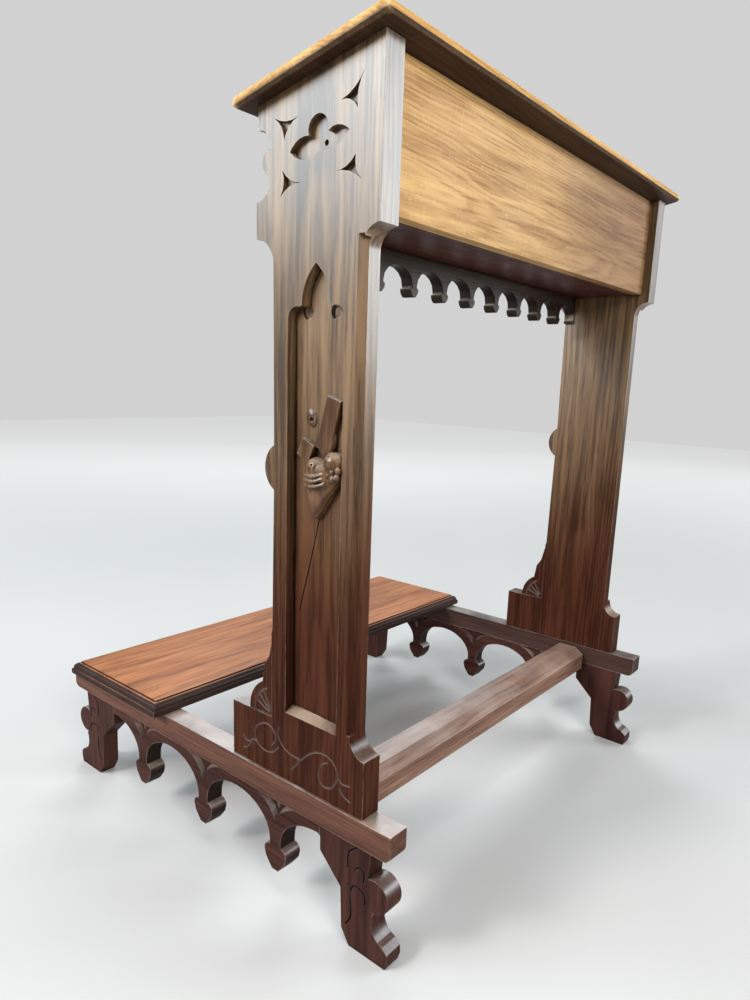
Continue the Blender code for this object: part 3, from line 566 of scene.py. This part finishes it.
# Painted shade and painted red bounce light: the shelf, the desk cleats and the glue blocks are dark
# red-brown as wood in shadow under the desk.
SHELF_OAK = oak("shelf oak", *SHADED_RED_BOUNCE_OAK, along="X", heart=(0.0, 0.2, 0.70), rings=0.2, wax=0.02)
VALANCE_OAK = oak(
    "valance oak", *DUSTY_OAK, along="X", heart=(0.0, 0.2, 0.70), rings=0.2, corner=0.020, grime_and_shade=1.0,
    rub=0.6, wax=0.06, walls="Y",
)
SCRATCHED = in_the_cuts("bare wood in the cuts", (0.082, 0.054, 0.046), 0.7)
# Near black in narrow cuts: partly dust, partly painted shadow at the foot of the recess walls and along the
# blade.
CUT_DIRT_AND_SHADE = in_the_cuts("dirt in the cuts", (0.006, 0.004, 0.003), 0.9)
STEEL = dark_steel()
BARE, DIRT_AND_SHADE_SLOT = 1, 2                   # the slots for the inside of carved lines: SCRATCHED and CUT_DIRT_AND_SHADE


# ---------------------------------------------------------------- making pieces

def finished(bm, name, finishes, nodes, smooth=35):
    """Turns a bmesh into a piece that rides on the root and stands for the given solids."""
    mesh = bpy.data.meshes.new(name)
    bm.to_mesh(mesh)
    bm.free()
    piece = bpy.data.objects.new(name, mesh)
    bpy.context.scene.collection.objects.link(piece)
    for finish in finishes:
        mesh.materials.append(finish)
    mesh.shade_smooth()
    mesh.set_sharp_from_angle(angle=math.radians(smooth))
    flats = piece.modifiers.new("keep the flats flat", "WEIGHTED_NORMAL")
    flats.mode = "FACE_AREA"
    flats.weight = 100
    flats.keep_sharp = True
    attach(piece, "root")
    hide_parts(*nodes)
    return piece


def solid_of(node):
    """A copy of a joiner's solid, with its doubles merged and its flat faces joined."""
    bm = bmesh.new()
    bm.from_mesh(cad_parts[node].data)
    bmesh.ops.remove_doubles(bm, verts=bm.verts, dist=MERGE)
    bmesh.ops.dissolve_limit(bm, angle_limit=math.radians(0.5), verts=bm.verts, edges=bm.edges)
    return bm


def round_edges(bm, width, segments=2):
    sharp = [e for e in bm.edges if len(e.link_faces) == 2 and e.calc_face_angle() > SHARP]
    bmesh.ops.bevel(
        bm, geom=sharp, offset=width, offset_type="OFFSET", affect="EDGES", segments=segments, profile=0.5,
        material=-1, clamp_overlap=True,
    )


def stroke(points, radius):
    """A round cutter or bead along a smooth line through the points."""
    curve = bpy.data.curves.new("stroke", "CURVE")
    curve.dimensions = "3D"
    curve.resolution_u = 5
    curve.bevel_depth = radius
    curve.bevel_resolution = 1
    curve.use_fill_caps = True
    spline = curve.splines.new("BEZIER")
    spline.bezier_points.add(len(points) - 1)
    for knot, point in zip(spline.bezier_points, points):
        knot.co = point
        knot.handle_left_type = knot.handle_right_type = "AUTO"
    holder = bpy.data.objects.new("stroke", curve)
    bpy.context.scene.collection.objects.link(holder)
    graph = bpy.context.evaluated_depsgraph_get()
    mesh = bpy.data.meshes.new_from_object(holder.evaluated_get(graph))
    bm = bmesh.new()
    bm.from_mesh(mesh)
    bmesh.ops.remove_doubles(bm, verts=bm.verts, dist=MERGE)
    bmesh.ops.recalc_face_normals(bm, faces=bm.faces)
    bpy.data.objects.remove(holder)
    bpy.data.curves.remove(curve)
    bpy.data.meshes.remove(mesh)
    return bm


def mesh_of(bm):
    """A mesh with three slots: the piece's own oak, and the two finishes inside cuts."""
    mesh = bpy.data.meshes.new("work")
    bm.to_mesh(mesh)
    bm.free()
    for _ in range(3):
        mesh.materials.append(None)
    return mesh


def with_modifier(bm, kind, **settings):
    """The bmesh after one modifier."""
    mesh = mesh_of(bm)
    holder = bpy.data.objects.new("work", mesh)
    bpy.context.scene.collection.objects.link(holder)
    modifier = holder.modifiers.new("work", kind)
    for name, value in settings.items():
        setattr(modifier, name, value)
    graph = bpy.context.evaluated_depsgraph_get()
    result = bpy.data.meshes.new_from_object(holder.evaluated_get(graph))
    made = bmesh.new()
    made.from_mesh(result)
    bpy.data.objects.remove(holder)
    for spent in (mesh, result):
        bpy.data.meshes.remove(spent)
    return made


def joined(parts):
    """Several shapes in one bmesh."""
    whole = bmesh.new()
    for part in parts:
        mesh = bpy.data.meshes.new("part")
        part.to_mesh(mesh)
        part.free()
        whole.from_mesh(mesh)
        bpy.data.meshes.remove(mesh)
    return whole


def carved(bm, cutters):
    """The bmesh with every cutter sunk into it, one after another."""
    for cutter in cutters:
        mesh = mesh_of(cutter)
        tool = bpy.data.objects.new("cutter", mesh)
        bpy.context.scene.collection.objects.link(tool)
        bm = with_modifier(bm, "BOOLEAN", operation="DIFFERENCE", object=tool, solver="EXACT")
        bpy.data.objects.remove(tool)
        bpy.data.meshes.remove(mesh)
    return bm


def carve_lines(bm, lines, face_x, radius, slot):
    """Lines incised in a face at face_x. Each line is a list of (y, z); slot is the finish inside them."""
    cutters = [stroke([(face_x, y, z) for y, z in line], radius) for line in lines]
    for cutter in cutters:
        for face in cutter.faces:
            face.material_index = slot
    return carved(bm, cutters)


def board(node, finish, width=0.0012, segments=2):
    """A joiner's solid with its edges worn round."""
    bm = solid_of(node)
    round_edges(bm, width, segments)
    return finished(bm, node + "_worn", [finish], [node])


# ---------------------------------------------------------------- carved lines

def vine_lines():
    """The scrolls on a plinth, in places from the plinth's front end and the rail's top."""
    lines = [
        [(0.083, 0.037), (0.070, 0.026), (0.054, 0.025), (0.043, 0.033), (0.041, 0.045), (0.050, 0.056),
         (0.063, 0.060), (0.073, 0.056), (0.078, 0.047), (0.070, 0.035)],
        [(0.018, 0.031), (0.027, 0.025), (0.037, 0.031), (0.045, 0.030)],
        [(0.018, 0.013), (0.028, 0.019), (0.036, 0.029)],
        [(0.084, 0.064), (0.081, 0.055), (0.087, 0.044), (0.101, 0.036), (0.118, 0.035)],
        [(0.119, 0.035), (0.111, 0.024), (0.104, 0.016)],
        [(0.121, 0.035), (0.132, 0.046), (0.147, 0.0545), (0.163, 0.055), (0.174, 0.048), (0.1775, 0.037),
         (0.173, 0.025), (0.163, 0.017), (0.152, 0.020), (0.149, 0.031), (0.154, 0.043), (0.163, 0.048)],
        [(0.179, 0.035), (0.185, 0.0315), (0.197, 0.033)],
        [(0.181, 0.024), (0.187, 0.018), (0.198, 0.014)],
    ]
    return [[(PANEL_FRONT + y, RAIL_TOP + z) for y, z in line] for line in lines]


def fan_lines():
    """The rim and the ribs of the leaf in a bracket."""
    y0, z0 = BRACKET_CORNER
    rim = [(y0 - 0.034 * math.cos(a), z0 + 0.034 * math.sin(a)) for a in (0.05, 0.35, 0.65, 0.95, 1.2)]
    ribs = []
    for angle in (0.30, 0.62, 0.94):
        rib = []
        for reach, bend in ((0.008, 0.0), (0.020, 0.05), (0.031, 0.10)):
            rib.append((y0 - reach * math.cos(angle), z0 + reach * math.sin(angle + bend)))
        ribs.append(rib)
    return [rim] + ribs


def foot_lines(end):
    """The curls on a foot, from the end of the sled."""
    lines = [
        [(-0.047, 0.131), (-0.055, 0.124), (-0.060, 0.118), (-0.061, 0.108), (-0.0605, 0.099)],
        [(-0.051, 0.101), (-0.043, 0.107), (-0.037, 0.102), (-0.038, 0.091)],
        [(-0.0565, 0.071), (-0.051, 0.0805), (-0.041, 0.080), (-0.0345, 0.074), (-0.0355, 0.064)],
        [(-0.0562, 0.063), (-0.0545, 0.050), (-0.0555, 0.037), (-0.0625, 0.026)],
        [(-0.059, 0.081), (-0.0605, 0.078)],
    ]
    return [[(end * (SLED_REAR + y), z) for y, z in line] for line in lines]


# ---------------------------------------------------------------- the pieces

def quirk(bm, side):
    """A narrow V cut into the recess along the foot of its front walls, painted near black as the shadow of
    those walls.
    """
    ground_x = side * (OUTER_FACE - RECESS_DEPTH)
    level = [f for f in bm.faces if abs(f.calc_center_median().x - ground_x) < MERGE]
    ground = max(level, key=lambda face: face.calc_area())
    walls = {f for e in ground.edges for f in e.link_faces if f is not ground and f.normal.y > 0.25}
    rim = bmesh.ops.inset_region(bm, faces=[ground], thickness=0.0024, use_even_offset=True)["faces"]
    foot_of_wall = {v for face in rim for v in face.verts if walls.intersection(v.link_faces)}
    for face in rim:
        if sum(v in foot_of_wall for v in face.verts) == 2:
            # Painted shadow: the strip at the foot of the wall gets the near-black finish.
            face.material_index = DIRT_AND_SHADE_SLOT
    for vert in foot_of_wall:
        vert.co.x -= side * 0.0030


def side_panel(label, side):
    node = label + "_side_panel"
    bm = solid_of(node)
    round_edges(bm, 0.0011)
    quirk(bm, side)
    # The blade is a groove painted near black: partly dust, partly painted shadow.
    bm = carve_lines(bm, [BLADE_LINE], side * (OUTER_FACE - RECESS_DEPTH), 0.0011, DIRT_AND_SHADE_SLOT)
    bm = carve_lines(bm, vine_lines(), side * OUTER_FACE, 0.0012, BARE)
    bm = carve_lines(bm, fan_lines(), side * (OUTER_FACE - BRACKET_SETBACK), 0.0016, BARE)
    bm = carve_lines(bm, fan_lines(), side * (PANEL_INNER + BRACKET_SETBACK), 0.0016, BARE)
    return finished(bm, node + "_carved", [PANEL_OAK[side], SCRATCHED, CUT_DIRT_AND_SHADE], [node])


def foot(label, side, place, end):
    node = f"{place}_{label}_foot"
    face_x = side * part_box("rear_right_foot")[1][0]
    bm = solid_of(node)
    round_edges(bm, 0.0020)
    bm = carve_lines(bm, foot_lines(end), face_x, 0.0014, DIRT_AND_SHADE_SLOT)
    return finished(bm, node + "_carved", [FOOT_OAK, SCRATCHED, CUT_DIRT_AND_SHADE], [node])


def ball(centre, size, turn=0.0):
    """An egg: size is its half width in x, y and z, turned about X."""
    bm = bmesh.new()
    place = Matrix.Translation(centre) @ Matrix.Rotation(turn, 4, "X") @ Matrix.Diagonal((*size, 1.0))
    bmesh.ops.create_uvsphere(bm, u_segments=20, v_segments=14, radius=1.0, matrix=place)
    return bm


def bar(centre, size, turn=0.0):
    """A square bar: size is its whole width in x, y and z, turned about X."""
    bm = bmesh.new()
    place = Matrix.Translation(centre) @ Matrix.Rotation(turn, 4, "X") @ Matrix.Diagonal((*size, 1.0))
    bmesh.ops.create_cube(bm, size=1.0, matrix=place)
    return bm


def mirrored(bm, side):
    """The bmesh as modelled for the right side, or its mirror image."""
    if side < 0:
        bmesh.ops.scale(bm, vec=(-1, 1, 1), verts=bm.verts)
        bmesh.ops.reverse_faces(bm, faces=bm.faces)
    return bm


def heart_carving(label, side):
    """A heart with a rope and a rose round it and flames over it, run through by a sword."""
    ground = OUTER_FACE - RECESS_DEPTH
    y0, z0 = HEART_MIDDLE

    def at(x, y, z):
        return (ground + x, y0 + y, z0 + z)

    def strand(start, end, rise, thick):
        """A rope strand that wraps round the heart's front half, in y from start to end."""
        points = []
        for i in range(7):
            s = i / 6
            out = 0.0060 + 0.0105 * math.sin(math.pi * (0.12 + 0.60 * s))
            points.append(at(out, start + (end - start) * s, rise + 0.0035 * s - 0.010 * s * (1 - s)))
        return stroke(points, thick)

    cone = joined([
        ball(at(0.0020, -0.0155, 0.0120), (0.0130, 0.0145, 0.0135)),
        ball(at(0.0030, 0.0120, 0.0190), (0.0125, 0.0130, 0.0130)),
        ball(at(0.0010, -0.0145, -0.0290), (0.0090, 0.0065, 0.0060)),
    ])
    made = bmesh.ops.convex_hull(cone, input=cone.verts)
    bmesh.ops.delete(cone, geom=list(set(made["geom_interior"]) | set(made["geom_unused"])), context="VERTS")
    parts = [cone, ball(at(0.0040, -0.0140, 0.0190), (0.0120, 0.0125, 0.0120)),
             ball(at(0.0060, 0.0135, 0.0275), (0.0120, 0.0130, 0.0110))]
    parts += [strand(-0.027, 0.006, 0.0020, 0.0021), strand(-0.0275, 0.004, 0.0070, 0.0021),
              strand(-0.0270, 0.004, 0.0120, 0.0019)]
    rose = (0.0130, 0.0165, 0.0190)
    for i in range(7):
        angle = i * math.tau / 7 + 0.2
        petal = (rose[0], rose[1] + 0.0075 * math.cos(angle), rose[2] + 0.0080 * math.sin(angle))
        parts.append(ball(at(*petal), (0.0032, 0.0034, 0.0034)))
    parts.append(ball(at(rose[0] + 0.001, rose[1], rose[2]), (0.0028, 0.0028, 0.0028)))
    flames = (
        (-0.0090, 0.042, 0.014, 0.25), (-0.0030, 0.050, 0.020, -0.03), (0.0050, 0.043, 0.015, -0.30),
        (-0.0050, 0.036, 0.012, 0.10), (0.0020, 0.034, 0.012, -0.15),
    )
    for y, z, length, turn in flames:
        parts.append(ball(at(0.0015, y, z), (0.0050, 0.0046, length), turn))
    grip = bar(at(0.0010, 0.0020, 0.0650), (0.0100, 0.0200, 0.0560), -0.28)
    guard = bar(at(0.0020, -0.0300, 0.0370), (0.0100, 0.0190, 0.0200), -0.45)
    parts += [grip, guard, ball(at(0.0, -0.0270, 0.0700), (0.0035, 0.0070, 0.0100), 0.3)]
    body = with_modifier(joined(parts), "REMESH", mode="VOXEL", voxel_size=0.0007, adaptivity=0.0)
    body = with_modifier(body, "SMOOTH", factor=0.5, iterations=2)
    holes = (
        (0.0155, -0.0125, 0.0235, 0.0015),
        (0.0165, 0.0115, 0.0345, 0.0013),
        (0.0035, -0.0250, 0.0685, 0.0030),
    )
    body = carved(body, [ball(at(x, y, z), (0.0042, size, size)) for x, y, z, size in holes])
    whole = mirrored(body, side)
    return finished(whole, label + "_heart", [CARVED_OAK], [label + "_heart_carving"], smooth=60)


for LABEL, SIDE in (("right", 1), ("left", -1)):
    side_panel(LABEL, SIDE)
    heart_carving(LABEL, SIDE)
    board(LABEL + "_rail", RAIL_OAK[LABEL], 0.0032, 4)
    board(LABEL + "_arcade", SLED_OAK, 0.0016)
    foot(LABEL, SIDE, "rear", 1)
    foot(LABEL, SIDE, "front", -1)
    board(LABEL + "_desk_cleat", SHELF_OAK)
board("stretcher", STRETCHER_OAK, 0.0012)
board("kneeling_board", STEP_OAK, 0.0008)
board("desk_top", DESK_OAK, 0.0030, 4)
board("back_panel", BACK_OAK, 0.0010)
board("shelf_board", SHELF_OAK, 0.0012)
board("valance", VALANCE_OAK, 0.0012)
for NODE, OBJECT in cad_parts.items():
    if "plug" in NODE:
        OBJECT.data.materials[0] = STEP_OAK
    elif "screw" in NODE:
        OBJECT.data.materials[0] = STEEL
    elif "dowel" in NODE:
        OBJECT.data.materials[0] = FOOT_OAK
    elif "glue_block" in NODE:
        OBJECT.data.materials[0] = SHELF_OAK


# ---------------------------------------------------------------- studio

BACKDROP = (0.80, 0.80, 0.80, 1.0)


def studio_floor():
    bm = bmesh.new()
    bmesh.ops.create_grid(bm, x_segments=1, y_segments=1, size=8.0)
    mesh = bpy.data.meshes.new("floor")
    bm.to_mesh(mesh)
    bm.free()
    floor = bpy.data.objects.new("floor", mesh)
    bpy.context.scene.collection.objects.link(floor)
    pale = bpy.data.materials.new("pale floor")
    pale.use_nodes = True
    shader = pale.node_tree.nodes["Principled BSDF"]
    shader.inputs["Base Color"].default_value = (0.40, 0.385, 0.37, 1.0)
    shader.inputs["Roughness"].default_value = 0.8
    shader.inputs["Emission Color"].default_value = BACKDROP
    t = Tree(pale.node_tree)
    away = t.vector("LENGTH", t.node("ShaderNodeTexCoord").outputs["Object"])
    t.put(t.spread(away, 1.2, 5.5, 0.0, 0.75), shader.inputs["Emission Strength"])
    mesh.materials.append(pale)


def area_light(name, place, target, size, watts, colour=(1.0, 1.0, 1.0)):
    lamp = bpy.data.lights.new(name, "AREA")
    lamp.shape = "SQUARE"
    lamp.size = size
    lamp.energy = watts
    lamp.color = colour
    holder = bpy.data.objects.new(name, lamp)
    holder.location = place
    holder.rotation_euler = (Vector(target) - Vector(place)).to_track_quat("-Z", "Y").to_euler()
    bpy.context.scene.collection.objects.link(holder)


def studio_camera():
    """A wide lens close to the right-hand rear corner, above half the desk's height and slightly rolled."""
    yaw, pitch, roll = -2.4728, 0.2128, 0.0408
    level = math.cos(pitch)
    forward = Vector((math.cos(yaw) * level, math.sin(yaw) * level, -math.sin(pitch)))
    level_right = Vector((math.sin(yaw), -math.cos(yaw), 0.0))
    level_up = level_right.cross(forward)
    right = math.cos(roll) * level_right + math.sin(roll) * level_up
    up = math.cos(roll) * level_up - math.sin(roll) * level_right
    turn = Matrix((right, up, -forward)).transposed().to_4x4()
    lens = bpy.data.cameras.new("camera")
    lens.sensor_width = 36.0
    lens.lens = 25.65
    lens.shift_x = -0.0254
    lens.shift_y = 0.0343
    lens.clip_start = 0.02
    camera = bpy.data.objects.new("camera", lens)
    camera.matrix_world = Matrix.Translation((0.8648, 0.7286, 0.6292)) @ turn
    bpy.context.scene.collection.objects.link(camera)
    bpy.context.scene.camera = camera


studio_floor()
studio_camera()
area_light("key", (2.85, -0.9, 2.0), (0.2, 0.1, 0.5), 0.7, 95.0)
area_light("front window", (3.3, -2.9, 2.9), (0.2, 0.1, 0.8), 2.6, 230.0, (0.78, 0.92, 1.0))
area_light("overhead", (0.5, 0.5, 3.0), (0.0, 0.1, 0.2), 1.4, 40.0, (0.94, 0.97, 1.0))
area_light("roof light", (-2.3, -2.5, 2.9), (0.2, 0.1, 0.2), 2.2, 110.0, (0.88, 0.95, 1.0))
area_light("rear window", (-3.4, 3.3, 1.9), (0.0, 0.2, 0.7), 2.4, 245.0, (0.86, 0.95, 1.0))
area_light("by the camera", (1.3, 2.2, 1.7), (0.2, 0.2, 0.8), 0.8, 48.0)
world = bpy.data.worlds.new("studio")
world.use_nodes = True
sky = Tree(world.node_tree)
seen = sky.node("ShaderNodeLightPath").outputs["Is Camera Ray"]
backdrop = world.node_tree.nodes["Background"]
sky.put(sky.mix(seen, (0.92, 0.95, 1.0, 1.0), BACKDROP), backdrop.inputs["Color"])
sky.put(sky.spread(seen, 0.0, 1.0, 0.14, 0.8), backdrop.inputs["Strength"])
bpy.context.scene.world = world
bpy.context.scene.view_settings.view_transform = "Standard"
